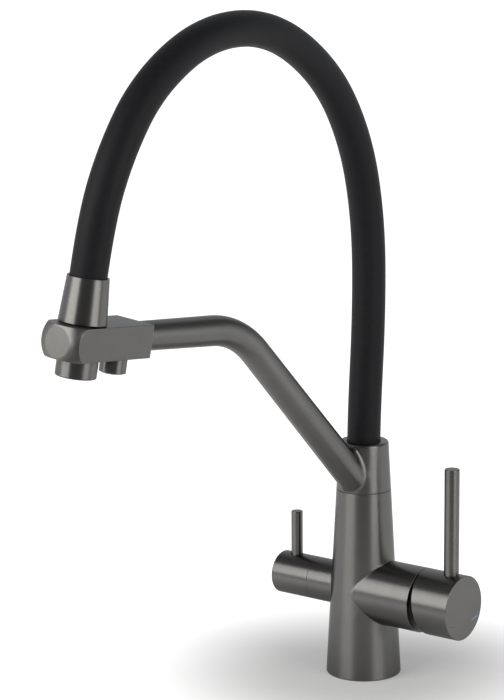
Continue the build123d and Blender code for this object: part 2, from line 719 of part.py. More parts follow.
with BuildPart() as cartridge_housing:
    turn([(0, cartridge_base), (cartridge_diameter / 2, cartridge_base),
          (cartridge_diameter / 2, cartridge_shoulder_reach),
          (cartridge_neck_diameter / 2, cartridge_shoulder_reach),
          (cartridge_neck_diameter / 2, cartridge_neck_reach),
          (cartridge_mouth_diameter / 2, cartridge_neck_reach),
          (cartridge_mouth_diameter / 2, cartridge_roof_inside), (cartridge_bore / 2, cartridge_roof_inside),
          (cartridge_bore / 2, disc_seat), (0, disc_seat)], mixer_axis)
    for y, height in cartridge_ports:
        rod(supply_way_diameter / 2, cartridge_base - cut_overrun, disc_seat + cut_overrun,
            right_axis(y, height), Mode.SUBTRACT)
cartridge_housing.part.label = "cartridge_housing"
export_step(cartridge_housing.part, "parts/cartridge_housing.step")

with BuildPart() as fixed_disc:
    rod(fixed_disc_diameter / 2, disc_seat, disc_seat + fixed_disc_thickness, mixer_axis)
    for y, height in cartridge_ports:
        rod(supply_way_diameter / 2, disc_seat - cut_overrun, disc_seat + fixed_disc_thickness + cut_overrun,
            right_axis(y, height), Mode.SUBTRACT)
fixed_disc.part.label = "fixed_disc"
export_step(fixed_disc.part, "parts/fixed_disc.step")

with BuildPart() as moving_disc:
    rod(moving_disc_diameter / 2, moving_disc_seat, carrier_seat, mixer_axis)
    rod(moving_disc_pocket / 2, moving_disc_seat - cut_overrun, moving_disc_seat + moving_disc_pocket_depth,
        mixer_axis, Mode.SUBTRACT)
moving_disc.part.label = "moving_disc"
export_step(moving_disc.part, "parts/moving_disc.step")

carrier_top = carrier_seat + disc_carrier_thickness
with BuildPart() as disc_carrier:
    ring(stem_foot_diameter / 2 + stem_foot_clearance, moving_disc_diameter / 2, carrier_seat, carrier_top,
         mixer_axis)
disc_carrier.part.label = "disc_carrier"
export_step(disc_carrier.part, "parts/disc_carrier.step")

rotor_low = carrier_top + rotor_base_gap
rotor_shoulder = cartridge_roof_inside - rotor_roof_gap
pivot_axis = Plane((pivot_reach, 0, valve_height), x_dir=(0, 0, 1), z_dir=(0, 1, 0))
slot_width = stem_width + 2 * stem_side_clearance

with BuildPart() as cartridge_rotor:
    turn([(0, rotor_low), (rotor_diameter / 2, rotor_low), (rotor_diameter / 2, rotor_shoulder),
          (rotor_neck_diameter / 2, rotor_shoulder), (rotor_neck_diameter / 2, rotor_neck_reach),
          (0, rotor_neck_reach)], mixer_axis)
    with BuildSketch(mixer_axis.offset(rotor_low)) as inner_slot:
        Rectangle(slot_width, 2 * rotor_slot_half)
    extrude(inner_slot.sketch, amount=pivot_reach + rotor_slot_past_pivot - rotor_low, mode=Mode.SUBTRACT)
    with BuildSketch(mixer_axis.offset(pivot_reach)) as outer_slot:
        with Locations((0, rotor_mouth_up)):
            Rectangle(slot_width, rotor_mouth_up + rotor_mouth_down, align=(Align.CENTER, Align.MAX))
    extrude(outer_slot.sketch, amount=rotor_neck_reach - pivot_reach + cut_overrun, mode=Mode.SUBTRACT)
    rod(stem_pin_diameter / 2, -stem_pin_length / 2, stem_pin_length / 2, pivot_axis, Mode.SUBTRACT)
cartridge_rotor.part.label = "cartridge_rotor"
export_step(cartridge_rotor.part, "parts/cartridge_rotor.step")

with BuildPart() as stem_pin:
    rod(stem_pin_diameter / 2, -stem_pin_length / 2, stem_pin_length / 2, pivot_axis)
stem_pin.part.label = "stem_pin"
export_step(stem_pin.part, "parts/stem_pin.step")

foot_reach = pivot_reach - stem_foot_arm
bar_start = pivot_reach - stem_inner_arm
with BuildPart() as cartridge_stem:
    with BuildSketch(mixer_axis.offset(bar_start)) as bar_section:
        Rectangle(stem_width, stem_height)
    extrude(bar_section.sketch, amount=stem_end_reach - bar_start)
    rod(stem_neck_diameter / 2, foot_reach, bar_start, mixer_axis)
    with Locations(mixer_axis.offset(foot_reach)):
        Sphere(stem_foot_diameter / 2)
    rod(stem_pin_diameter / 2 + running_clearance, -stem_width, stem_width, pivot_axis, Mode.SUBTRACT)
cartridge_stem.part.label = "cartridge_stem"
export_step(cartridge_stem.part, "parts/cartridge_stem.step")

with BuildPart() as cartridge_nut:
    ring(nut_bore / 2, cartridge_pocket_diameter / 2, cartridge_shoulder_reach, nut_end_reach, mixer_axis)
cartridge_nut.part.label = "cartridge_nut"
export_step(cartridge_nut.part, "parts/cartridge_nut.step")

with BuildPart() as cartridge_cover:
    ring(cover_bore / 2, cover_diameter / 2, nut_end_reach, cover_end_reach, mixer_axis)
    cover_rim = cartridge_cover.edges().filter_by(GeomType.CIRCLE).group_by(Axis.X)[-1]
    fillet(cover_rim.sort_by(SortBy.RADIUS)[-1], handle_edge_round)
cartridge_cover.part.label = "cartridge_cover"
export_step(cartridge_cover.part, "parts/cartridge_cover.step")

# Mixer handle: a cap cut off at a slant, so that its lower rim is clear when the lever tilts

lever_axis = upright(mixer_lever_reach, 0)
handle_screw_axis = Plane((handle_screw_reach, 0, valve_height), x_dir=(1, 0, 0), z_dir=(0, 0, -1))
mark_places = {"hot_mark": (-mark_spread, -mark_slope), "cold_mark": (mark_spread, mark_slope)}


def mark_outline(y, slope):
    """A short dash near the lower rim of the handle's face."""
    with BuildSketch(mixer_axis.offset(handle_end_reach - mark_depth)) as dash:
        with Locations(Location((y, -mark_drop, 0), slope)):
            Rectangle(mark_length, mark_width)
    return dash.sketch


with BuildPart() as mixer_handle:
    rod(mixer_radius, mixer_branch_reach, handle_end_reach, mixer_axis)
    fillet(mixer_handle.edges().filter_by(GeomType.CIRCLE).sort_by(Axis.X)[-1], handle_edge_round)
    rod(handle_bore / 2, mixer_branch_reach - cut_overrun, handle_web_reach, mixer_axis, Mode.SUBTRACT)
    rod(handle_boss_diameter / 2, handle_boss_reach, handle_web_reach, mixer_axis)
    rim_top = Vector(mixer_branch_reach + handle_gap_top, 0, valve_height + mixer_radius)
    rim_bottom = Vector(mixer_branch_reach + handle_gap_bottom, 0, valve_height - mixer_radius)
    rim_slope = rim_top - rim_bottom
    split(bisect_by=Plane(rim_bottom, z_dir=(rim_slope.Z, 0, -rim_slope.X)), keep=Keep.TOP)
    with BuildSketch(mixer_axis.offset(handle_boss_reach)) as stem_socket:
        Rectangle(stem_width + 2 * stem_socket_clearance, stem_height + 2 * stem_socket_clearance)
    extrude(stem_socket.sketch, amount=stem_end_reach - handle_boss_reach + stem_socket_end_gap,
            mode=Mode.SUBTRACT)
    rod(mixer_lever_diameter / 2, valve_height + mixer_lever_root, valve_height + mixer_diameter,
        lever_axis, Mode.SUBTRACT)
    rod(set_screw_radius, 0, mixer_diameter, handle_screw_axis, Mode.SUBTRACT)
    for y, slope in mark_places.values():
        extrude(mark_outline(y, slope), amount=mark_depth + cut_overrun, mode=Mode.SUBTRACT)
mixer_handle.part.label = "mixer_handle"
export_step(mixer_handle.part, "parts/mixer_handle.step")

with BuildPart() as mixer_lever:
    rod(mixer_lever_diameter / 2, valve_height + mixer_lever_root, mixer_lever_top_height, lever_axis)
    fillet(mixer_lever.edges().filter_by(GeomType.CIRCLE).sort_by(Axis.Z)[-1], lever_edge_round)
mixer_lever.part.label = "mixer_lever"
export_step(mixer_lever.part, "parts/mixer_lever.step")

with BuildPart() as handle_set_screw:
    set_screw(handle_screw_axis, stem_height / 2)
handle_set_screw.part.label = "handle_set_screw"
export_step(handle_set_screw.part, "parts/handle_set_screw.step")

with BuildPart() as hot_mark:
    extrude(mark_outline(*mark_places["hot_mark"]), amount=mark_depth)
hot_mark.part.label = "hot_mark"
export_step(hot_mark.part, "parts/hot_mark.step")

with BuildPart() as cold_mark:
    extrude(mark_outline(*mark_places["cold_mark"]), amount=mark_depth)
cold_mark.part.label = "cold_mark"
export_step(cold_mark.part, "parts/cold_mark.step")

# Filter valve: a quarter-turn headwork with two ceramic discs

filter_cell_low = filter_pocket_reach + filter_seal_thickness
filter_moving_seat = filter_cell_low + filter_fixed_thickness + disc_clearance
flange_seat = filter_moving_seat + filter_moving_thickness
flange_top = flange_seat + spindle_flange_thickness
filter_cell_high = flange_top + spindle_flange_gap
headwork_end = filter_branch_reach + headwork_flange_thickness
spindle_radius = spindle_diameter / 2
circlip_seat = headwork_end + circlip_gap

with BuildPart() as filter_seat_seal:
    ring(filter_seal_bore / 2, filter_pocket_diameter / 2, filter_pocket_reach, filter_cell_low,
         filter_axis)
filter_seat_seal.part.label = "filter_seat_seal"
export_step(filter_seat_seal.part, "parts/filter_seat_seal.step")

with BuildPart() as filter_headwork:
    turn([(filter_cell_diameter / 2, filter_cell_low), (filter_pocket_diameter / 2, filter_cell_low),
          (filter_pocket_diameter / 2, filter_branch_reach),
          (headwork_flange_diameter / 2, filter_branch_reach),
          (headwork_flange_diameter / 2, headwork_end), (spindle_radius + running_clearance, headwork_end),
          (spindle_radius + running_clearance, filter_cell_high),
          (filter_cell_diameter / 2, filter_cell_high)], filter_axis)
filter_headwork.part.label = "filter_headwork"
export_step(filter_headwork.part, "parts/filter_headwork.step")

with BuildPart() as filter_fixed_disc:
    rod(filter_disc_diameter / 2, filter_cell_low, filter_cell_low + filter_fixed_thickness, filter_axis)
    with BuildSketch(filter_axis.offset(filter_cell_low)) as fixed_ports:
        with Locations((-filter_disc_port_offset, 0), (filter_disc_port_offset, 0)):
            Circle(filter_disc_port / 2)
    extrude(fixed_ports.sketch, amount=filter_fixed_thickness, mode=Mode.SUBTRACT)
filter_fixed_disc.part.label = "filter_fixed_disc"
export_step(filter_fixed_disc.part, "parts/filter_fixed_disc.step")

with BuildPart() as filter_moving_disc:
    rod(filter_disc_diameter / 2, filter_moving_seat, flange_seat, filter_axis)
    with BuildSketch(filter_axis.offset(filter_moving_seat)) as moving_ports:
        with Locations((0, -filter_disc_port_offset), (0, filter_disc_port_offset)):
            Circle(filter_disc_port / 2)
    extrude(moving_ports.sketch, amount=filter_moving_thickness, mode=Mode.SUBTRACT)
filter_moving_disc.part.label = "filter_moving_disc"
export_step(filter_moving_disc.part, "parts/filter_moving_disc.step")

with BuildPart() as filter_spindle:
    turn([(0, flange_seat), (spindle_flange_diameter / 2, flange_seat),
          (spindle_flange_diameter / 2, flange_top), (spindle_radius, flange_top),
          (spindle_radius, spindle_end_reach), (0, spindle_end_reach)], filter_axis)
    ring(spindle_radius - spindle_ring_section, spindle_radius + cut_overrun,
         spindle_ring_reach - spindle_ring_groove / 2, spindle_ring_reach + spindle_ring_groove / 2,
         filter_axis, Mode.SUBTRACT)
    ring(spindle_radius - circlip_groove_depth, spindle_radius + cut_overrun, circlip_seat,
         circlip_seat + circlip_thickness, filter_axis, Mode.SUBTRACT)
filter_spindle.part.label = "filter_spindle"
export_step(filter_spindle.part, "parts/filter_spindle.step")

with BuildPart() as spindle_o_ring:
    with Locations(filter_axis.offset(spindle_ring_reach)):
        Torus(spindle_radius - spindle_ring_section / 2, spindle_ring_section / 2)
spindle_o_ring.part.label = "spindle_o_ring"
export_step(spindle_o_ring.part, "parts/spindle_o_ring.step")

with BuildPart() as spindle_circlip:
    ring(spindle_radius - circlip_groove_depth, circlip_diameter / 2, circlip_seat,
         circlip_seat + circlip_thickness, filter_axis)
spindle_circlip.part.label = "spindle_circlip"
export_step(spindle_circlip.part, "parts/spindle_circlip.step")

filter_lever_axis = upright(-filter_lever_reach, 0)
filter_screw_axis = Plane((-filter_screw_reach, 0, valve_height), x_dir=(1, 0, 0), z_dir=(0, 0, -1))
with BuildPart() as filter_handle:
    filter_handle_start = filter_branch_reach + filter_handle_gap
    turn([(spindle_radius, filter_handle_web_reach), (filter_handle_bore / 2, filter_handle_web_reach),
          (filter_handle_bore / 2, filter_handle_start), (filter_radius, filter_handle_start),
          (filter_radius, filter_handle_end_reach), (0, filter_handle_end_reach), (0, spindle_end_reach),
          (spindle_radius, spindle_end_reach)], filter_axis)
    fillet(filter_handle.edges().filter_by(GeomType.CIRCLE).sort_by(Axis.X)[0], filter_handle_edge_round)
    rod(filter_lever_diameter / 2, valve_height + filter_lever_root, valve_height + filter_diameter,
        filter_lever_axis, Mode.SUBTRACT)
    rod(filter_lever_seat_diameter / 2, valve_height + filter_radius - filter_lever_seat_depth,
        valve_height + filter_diameter, filter_lever_axis, Mode.SUBTRACT)
    rod(set_screw_radius, 0, filter_diameter, filter_screw_axis, Mode.SUBTRACT)
filter_handle.part.label = "filter_handle"
export_step(filter_handle.part, "parts/filter_handle.step")

with BuildPart() as filter_lever:
    rod(filter_lever_diameter / 2, valve_height + filter_lever_root, filter_lever_top_height,
        filter_lever_axis)
    fillet(filter_lever.edges().filter_by(GeomType.CIRCLE).sort_by(Axis.Z)[-1], lever_edge_round)
filter_lever.part.label = "filter_lever"
export_step(filter_lever.part, "parts/filter_lever.step")

with BuildPart() as filter_set_screw:
    set_screw(filter_screw_axis, spindle_radius)
filter_set_screw.part.label = "filter_set_screw"
export_step(filter_set_screw.part, "parts/filter_set_screw.step")
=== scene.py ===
import math

import bmesh
import bpy
from mathutils import Matrix, Vector


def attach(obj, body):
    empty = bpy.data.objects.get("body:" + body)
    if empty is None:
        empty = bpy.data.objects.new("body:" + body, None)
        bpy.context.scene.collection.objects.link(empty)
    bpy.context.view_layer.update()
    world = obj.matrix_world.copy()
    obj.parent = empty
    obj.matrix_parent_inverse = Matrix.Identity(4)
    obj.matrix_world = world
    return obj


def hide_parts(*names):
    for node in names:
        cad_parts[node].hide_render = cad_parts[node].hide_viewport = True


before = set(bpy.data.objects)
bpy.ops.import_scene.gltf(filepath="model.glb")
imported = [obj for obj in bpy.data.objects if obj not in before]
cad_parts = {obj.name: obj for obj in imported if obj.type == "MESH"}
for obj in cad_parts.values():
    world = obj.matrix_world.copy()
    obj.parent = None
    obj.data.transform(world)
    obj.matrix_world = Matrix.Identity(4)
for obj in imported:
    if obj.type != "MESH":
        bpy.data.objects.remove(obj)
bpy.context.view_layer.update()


# Camera
# The photograph's view, from 35 degrees to the right of the front and 12 degrees above it. The focal
# length is the one that was fitted to the picture, on a frame whose long side is its height.
camera_place = Vector((1.0315, -1.4751, 0.6106))
camera_forward = Vector((-0.5922, 0.7774, -0.2119))
camera_right = Vector((0.7964, 0.6047, -0.0075))
camera_up = camera_right.cross(camera_forward)
focal_pixels = 2805.2
picture_height_pixels = 700
sensor_long_side = 36.0

camera = bpy.data.objects.new("camera", bpy.data.cameras.new("camera"))
camera.data.sensor_width = sensor_long_side
camera.data.lens = focal_pixels * sensor_long_side / picture_height_pixels
camera.data.clip_start = 0.05
camera.data.clip_end = 20
camera.matrix_world = Matrix.Translation(camera_place) @ Matrix(
    (camera_right, camera_up, -camera_forward)
).transposed().to_4x4()
bpy.context.scene.collection.objects.link(camera)
bpy.context.scene.camera = camera
bpy.context.scene.view_settings.view_transform = "Standard"


# Column
# One brass casting from the deck to the swivel's seam, with the mixer's branch on its right and the valve's
# on its left. It is turned, brushed in fine rings and plated a dark satin gunmetal.
def new_material(name):
    """A material with one Principled shader, and its node tree and that shader."""
    material = bpy.data.materials.new(name)
    material.use_nodes = True
    tree = material.node_tree
    return material, tree, tree.nodes["Principled BSDF"]


def add_node(tree, kind, inputs=None, **settings):
    """A shader node with its settings and its inputs, which are values or other nodes' sockets."""
    node = tree.nodes.new(kind)
    for name, value in settings.items():
        setattr(node, name, value)
    for name, value in (inputs or {}).items():
        if isinstance(value, bpy.types.NodeSocket):
            tree.links.new(value, node.inputs[name])
        else:
            node.inputs[name].default_value = value
    return node


def vector_math(tree, operation, *values):
    """The vector that one vector operation gives."""
    return add_node(tree, "ShaderNodeVectorMath", dict(enumerate(values)), operation=operation).outputs[0]


def number_math(tree, operation, *values):
    """The number that one sum gives."""
    return add_node(tree, "ShaderNodeMath", dict(enumerate(values)), operation=operation).outputs[0]


def dot_product(tree, place, way):
    """How far a place lies along a direction."""
    product = add_node(tree, "ShaderNodeVectorMath", {0: place, 1: way}, operation="DOT_PRODUCT")
    return product.outputs["Value"]


def from_origin(tree, place):
    """How far a place lies from the origin."""
    return add_node(tree, "ShaderNodeVectorMath", {0: place}, operation="LENGTH").outputs["Value"]


def object_place(tree):
    """Where a point lies, in its piece's own coordinates."""
    return add_node(tree, "ShaderNodeTexCoord").outputs["Object"]


def noise(tree, place, scale, detail=2.0):
    """A cloudy pattern at one place."""
    inputs = {"Vector": place, "Scale": scale, "Detail": detail}
    return add_node(tree, "ShaderNodeTexNoise", inputs).outputs["Fac"]


def between(tree, share, low, high):
    """A value between two, at a share of the way."""
    inputs = {"Value": share, "To Min": low, "To Max": high}
    return add_node(tree, "ShaderNodeMapRange", inputs).outputs["Result"]


def smooth_step(tree, value, start, end, low=0.0, high=1.0):
    """A value that goes smoothly from low to high between two marks."""
    inputs = {"Value": value, "From Min": start, "From Max": end, "To Min": low, "To Max": high}
    return add_node(
        tree, "ShaderNodeMapRange", inputs, interpolation_type="SMOOTHSTEP"
    ).outputs["Result"]


mix_sockets = {"FLOAT": (2, 0), "VECTOR": (4, 1), "RGBA": (6, 2)}


def mix(tree, kind, share, first, second):
    """A number, a vector or a colour that goes from the first to the second as the share goes to one."""
    first_input, output = mix_sockets[kind]
    inputs = {0: share, first_input: first, first_input + 1: second}
    return add_node(tree, "ShaderNodeMix", inputs, data_type=kind).outputs[output]


def blend_colours(tree, share, first, second):
    """A colour between two, which are values or sockets, at a share of the way."""
    ends = [end if isinstance(end, bpy.types.NodeSocket) else (*end, 1.0) for end in (first, second)]
    return mix(tree, "RGBA", share, *ends)


def relief(tree, height, strength, depth, normal=None):
    """The way a surface faces, bent by a fine pattern of heights."""
    inputs = {"Height": height, "Strength": strength, "Distance": depth}
    if normal is not None:
        inputs["Normal"] = normal
    return add_node(tree, "ShaderNodeBump", inputs).outputs["Normal"]


def link_finish(tree, shader, colour, roughness, normal):
    """Gives a shader its colour, its roughness and its relief."""
    tree.links.new(colour, shader.inputs["Base Color"])
    tree.links.new(roughness, shader.inputs["Roughness"])
    tree.links.new(normal, shader.inputs["Normal"])


def dress(material, *nodes):
    """Gives CAD pieces their finish."""
    for node in nodes:
        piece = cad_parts[node]
        if not piece.material_slots:
            piece.data.materials.append(material)
        for material_slot in piece.material_slots:
            material_slot.material = material


gunmetal_dark = (0.125, 0.123, 0.119)
gunmetal_light = (0.145, 0.143, 0.138)
# The pale edge colour is partly wear and partly a painted highlight, where a rounded edge would catch the
# light.
gunmetal_edge_highlight_and_wear = (0.36, 0.355, 0.345)
gunmetal_edge_tint = (0.7, 0.7, 0.71, 1.0)
edge_highlight_and_wear_radius = 0.0004
edge_highlight_and_wear_turn = (0.99, 0.85)
ring_pitch = 0.0005
ring_run = 0.03
ring_depth = 0.00012
ring_stretch = 0.78


def brushed_gunmetal(name, brush_axis, roughness=(0.31, 0.39)):
    """Dark satin plating over fine rings that run round an axis, painted paler along its edges, partly as
    wear and partly as a painted highlight.

    The axis is one direction, or a function of the tree and the place that gives it.
    """
    material, tree, shader = new_material(name)
    place = object_place(tree)
    if callable(brush_axis):
        axis = brush_axis(tree, place)
    else:
        axis = vector_math(tree, "NORMALIZE", brush_axis)
    ring_count = number_math(tree, "DIVIDE", dot_product(tree, place, axis), ring_pitch)
    rings = add_node(
        tree, "ShaderNodeVectorMath", {0: axis, "Scale": ring_count}, operation="SCALE"
    ).outputs[0]
    ring_place = vector_math(tree, "ADD", rings, vector_math(tree, "DIVIDE", place, [ring_run] * 3))
    marks = noise(tree, ring_place, scale=1.0)
    cloud = noise(tree, place, scale=70.0, detail=3.0)
    # Edges are painted paler: partly wear, partly a painted highlight like light caught on a rounded edge.
    rounded = add_node(tree, "ShaderNodeBevel", {"Radius": edge_highlight_and_wear_radius}, samples=4).outputs[0]
    sharp = add_node(tree, "ShaderNodeNewGeometry").outputs["Normal"]
    edge_highlight_and_wear_share = smooth_step(tree, dot_product(tree, rounded, sharp), *edge_highlight_and_wear_turn)
    plating = blend_colours(tree, cloud, gunmetal_dark, gunmetal_light)
    link_finish(
        tree, shader, blend_colours(tree, edge_highlight_and_wear_share, plating, gunmetal_edge_highlight_and_wear),
        between(tree, marks, *roughness),
        relief(tree, marks, strength=0.12, depth=ring_depth, normal=rounded),
    )
    stretch_way = add_node(
        tree, "ShaderNodeVectorTransform", {0: axis},
        vector_type="VECTOR", convert_from="OBJECT", convert_to="WORLD",
    ).outputs[0]
    tree.links.new(stretch_way, shader.inputs["Tangent"])
    shader.inputs["Metallic"].default_value = 1.0
    shader.inputs["Anisotropic"].default_value = ring_stretch
    shader.inputs["Specular Tint"].default_value = gunmetal_edge_tint
    return material


# An axis leans aside by a small share, so that the stretch has a way to run on a flat end too.
axis_lean_share = 0.03
level_axis = (1.0, 0.0, axis_lean_share)
upright_axis = (axis_lean_share, 0.0, 1.0)
base_radius = 0.025
cone_taper_share = 0.05375


def outside_cone(tree, place):
    """One where a point is off the column's cone, as on a branch or the arm, and else nothing."""
    height = add_node(tree, "ShaderNodeSeparateXYZ", {0: place}).outputs["Z"]
    from_axis = from_origin(tree, vector_math(tree, "MULTIPLY", place, (1, 1, 0)))
    cone = number_math(tree, "MULTIPLY_ADD", height, -cone_taper_share, base_radius + edge_highlight_and_wear_radius)
    return number_math(tree, "GREATER_THAN", from_axis, cone)


def column_axis(tree, place):
    """Upright on the cone and level on its two branches."""
    axis = mix(tree, "VECTOR", outside_cone(tree, place), upright_axis, level_axis)
    return vector_math(tree, "NORMALIZE", axis)


dress(brushed_gunmetal("gunmetal_column", column_axis), "body")


# Deck seal and O-rings
# Moulded black rubber rings: one lies in a groove under the foot, and the others seal the spigot, the
# cartridge, the valve and both outlets.
bloom_gain = 1.8
bloom_lift = 0.004


def moulded_rubber(name, colour, roughness=(0.45, 0.62)):
    """Smooth moulded rubber with a faint bloom."""
    material, tree, shader = new_material(name)
    place = object_place(tree)
    bloom = noise(tree, place, scale=220.0, detail=4.0)
    bloomed = [part * bloom_gain + bloom_lift for part in colour]
    link_finish(
        tree, shader, blend_colours(tree, bloom, colour, bloomed), between(tree, bloom, *roughness),
        relief(tree, noise(tree, place, scale=3000.0), strength=0.1, depth=0.00005),
    )
    return material


seal_rubber = moulded_rubber("seal_rubber", (0.014, 0.014, 0.014))
dress(
    seal_rubber, "deck_seal", "spigot_o_rings", "aerator_seal", "filter_outlet_seal", "cartridge_seals",
    "filter_seat_seal", "spindle_o_ring",
)


# Swivel spigot, nipples and crimp sleeves
# Bare turned brass: the spigot is screwed into the column and carries the spout, the nipples screw into
# the collar and the ferrule, and the crimp sleeves grip the inner hose on them.
feed_pitch = 0.0006
feed_run_share = 0.03


def turned_metal(name, dark, light, roughness, axis=(0, 0, 1)):
    """Bare metal with the fine feed marks of a lathe across an axis."""
    material, tree, shader = new_material(name)
    place = object_place(tree)
    scale = [(1 if part else feed_run_share) / feed_pitch for part in axis]
    marks = noise(tree, vector_math(tree, "MULTIPLY", place, scale), scale=1.0)
    stain = noise(tree, place, scale=160.0, detail=4.0)
    link_finish(
        tree, shader, blend_colours(tree, stain, dark, light), between(tree, marks, *roughness),
        relief(tree, marks, strength=0.15, depth=0.0001),
    )
    shader.inputs["Metallic"].default_value = 1.0
    return material


brass_dark = (0.55, 0.39, 0.16)
brass_light = (0.74, 0.56, 0.27)
brass_roughness = (0.22, 0.4)
dress(
    turned_metal("turned_brass_upright", brass_dark, brass_light, brass_roughness),
    "swivel_spigot", "hose_nipple_base", "hose_nipple_head", "crimp_sleeves",
)


# Glide ring
# A thin black ring of sliding plastic, laid round the spigot on top of the column. The collar turns on it,
# and it shows as the dark seam.
def moulded_plastic(name, dark, light, roughness, grain=1500.0):
    """Moulded plastic with a fine spark-eroded grain."""
    material, tree, shader = new_material(name)
    place = object_place(tree)
    tone = noise(tree, place, scale=90.0, detail=3.0)
    pores = noise(tree, place, scale=grain)
    link_finish(
        tree, shader, blend_colours(tree, tone, dark, light), between(tree, pores, *roughness),
        relief(tree, pores, strength=0.12, depth=0.00005),
    )
    return material


glide_plastic = moulded_plastic(
    "glide_plastic", dark=(0.02, 0.02, 0.02), light=(0.032, 0.032, 0.032), roughness=(0.35, 0.5)
)
dress(glide_plastic, "glide_ring")


# Collar and arm
# One casting that turns on the spigot: the collar carries the column's cone on above the seam, and the
# tube of the arm rises from it, bends and runs out to the head block.
rise_angle = 44.4
level_angle = 7.1
bend_start_reach = 0.108
bend_end_reach = 0.162
tube_lean_share = 0.01


def spout_axis(tree, place):
    """Upright on the collar, and along the tube on the arm, from the rising run to the level one."""
    reach = add_node(tree, "ShaderNodeSeparateXYZ", {0: place}).outputs["Y"]
    angle = smooth_step(
        tree, reach, -bend_start_reach, -bend_end_reach, math.radians(rise_angle), math.radians(level_angle)
    )
    out = number_math(tree, "MULTIPLY", number_math(tree, "COSINE", angle), -1.0)
    up = number_math(tree, "SINE", angle)
    along_tube = add_node(tree, "ShaderNodeCombineXYZ", {"X": tube_lean_share, "Y": out, "Z": up}).outputs[0]
    axis = mix(tree, "VECTOR", outside_cone(tree, place), upright_axis, along_tube)
    return vector_math(tree, "NORMALIZE", axis)


dress(brushed_gunmetal("gunmetal_spout", spout_axis), "swivel_arm")


# Screws, circlip and pin
# Hardened steel: a lock screw at the back of the collar keeps the spout on, the two others hold the
# handles, the circlip keeps the spindle in and the pin is the lever's pivot.
screw_steel = turned_metal(
    "screw_steel", dark=(0.16, 0.16, 0.165), light=(0.27, 0.27, 0.27), roughness=(0.25, 0.42)
)
dress(
    screw_steel, "collar_lock_screw", "handle_set_screw", "filter_set_screw", "spindle_circlip", "stem_pin"
)


# Filtered water tube
# A separate tube of white food-safe plastic, pushed through the inside of the arm from the collar to the
# head block, so that filtered water never meets the rest.
water_tube_plastic = moulded_plastic(
    "water_tube_plastic", dark=(0.74, 0.74, 0.72), light=(0.82, 0.82, 0.8), roughness=(0.3, 0.42)
)
dress(water_tube_plastic, "filtered_water_tube")


# Head block
# A machined brass bar whose outer end is turned to a round about the bar's own length, with a small flat
# disc left on it. It is brushed and plated like the rest.
block_roll = 5.0
tilt, roll = math.radians(level_angle), math.radians(block_roll)
head_up = Vector((math.sin(roll), math.sin(tilt) * math.cos(roll), math.cos(tilt) * math.cos(roll)))
head_out = Vector((0, -math.cos(tilt), math.sin(tilt)))
head_side = head_up.cross(head_out)
bar_axis = tuple(head_out + head_side * axis_lean_share)
dress(brushed_gunmetal("gunmetal_head", bar_axis), "head_block")


# Aerator, filtered outlet and ferrule
# Two turned housings are screwed up into the head block, and the hose's ferrule is screwed down into it. A
# black plastic insert with fine jets sits in the aerator, and a pale one in the filtered water's outlet.
outlet_axis = tuple(head_up + head_side * axis_lean_share)
head_turned = brushed_gunmetal("gunmetal_head_turned", outlet_axis, roughness=(0.31, 0.38))
dark_plastic = moulded_plastic(
    "dark_plastic", dark=(0.028, 0.028, 0.03), light=(0.042, 0.042, 0.046), roughness=(0.3, 0.45)
)
pale_plastic = moulded_plastic(
    "pale_plastic", dark=(0.66, 0.66, 0.63), light=(0.78, 0.78, 0.75), roughness=(0.12, 0.25)
)
dress(head_turned, "aerator_housing", "filter_outlet_housing", "hose_ferrule")
dress(dark_plastic, "aerator_insert")
dress(pale_plastic, "filter_outlet_insert")


# Hose
# The flexible hose is one smooth matt black silicone sleeve over a spring and a pipe. It is pushed into
# the collar's socket at its foot and into the ferrule at its head.
silicone_black = (0.0042, 0.0044, 0.0056)
silicone_roughness = (0.52, 0.66)
silicone_gloss = 0.16
hose_radius = 0.01105
hose_route = [
    (0.0, 0.0, 0.153),
    (0.0, 0.0, 0.173),
    (0.0, 0.006, 0.245),
    (0.0, 0.005, 0.3055),
    (0.001, -0.0105, 0.3605),
    (0.003, -0.046, 0.4075),
    (0.0055, -0.107, 0.4415),
    (0.008, -0.1735, 0.444),
    (0.0095, -0.230, 0.4185),
    (0.0095, -0.261, 0.3815),
    (0.00565, -0.27557, 0.3411),
    (0.0022, -0.2805, 0.3012),
]
hose_curve = bpy.data.curves.new("hose_cover", "CURVE")
hose_curve.dimensions = "3D"
hose_line = hose_curve.splines.new("NURBS")
hose_line.points.add(len(hose_route) - 1)
for point, route_place in zip(hose_line.points, hose_route):
    point.co = (*route_place, 1.0)
hose_line.order_u = 3
hose_line.use_endpoint_u = True
hose_line.resolution_u = 24
hose_curve.bevel_depth = hose_radius
hose_curve.bevel_resolution = 16
hose_curve.use_fill_caps = True
hose = bpy.data.objects.new("hose_cover", hose_curve)
bpy.context.scene.collection.objects.link(hose)
silicone = moulded_rubber("black_silicone", silicone_black, silicone_roughness)
silicone.node_tree.nodes["Principled BSDF"].inputs["Specular IOR Level"].default_value = silicone_gloss
hose.data.materials.append(silicone)
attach(hose, "spout")
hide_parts("hose_sleeve")


# Spring and inner pipe
# Inside the hose's sleeve, bare spring wire holds the arch. It runs round a grey reinforced pipe for the
# mixed water, which is pushed over the nipples.
spring_wire = turned_metal(
    "spring_wire", dark=(0.4, 0.4, 0.41), light=(0.55, 0.55, 0.55), roughness=(0.25, 0.38)
)
dress(spring_wire, "support_coil")
dress(moulded_rubber("inner_pipe_rubber", (0.38, 0.38, 0.365)), "inner_hose")


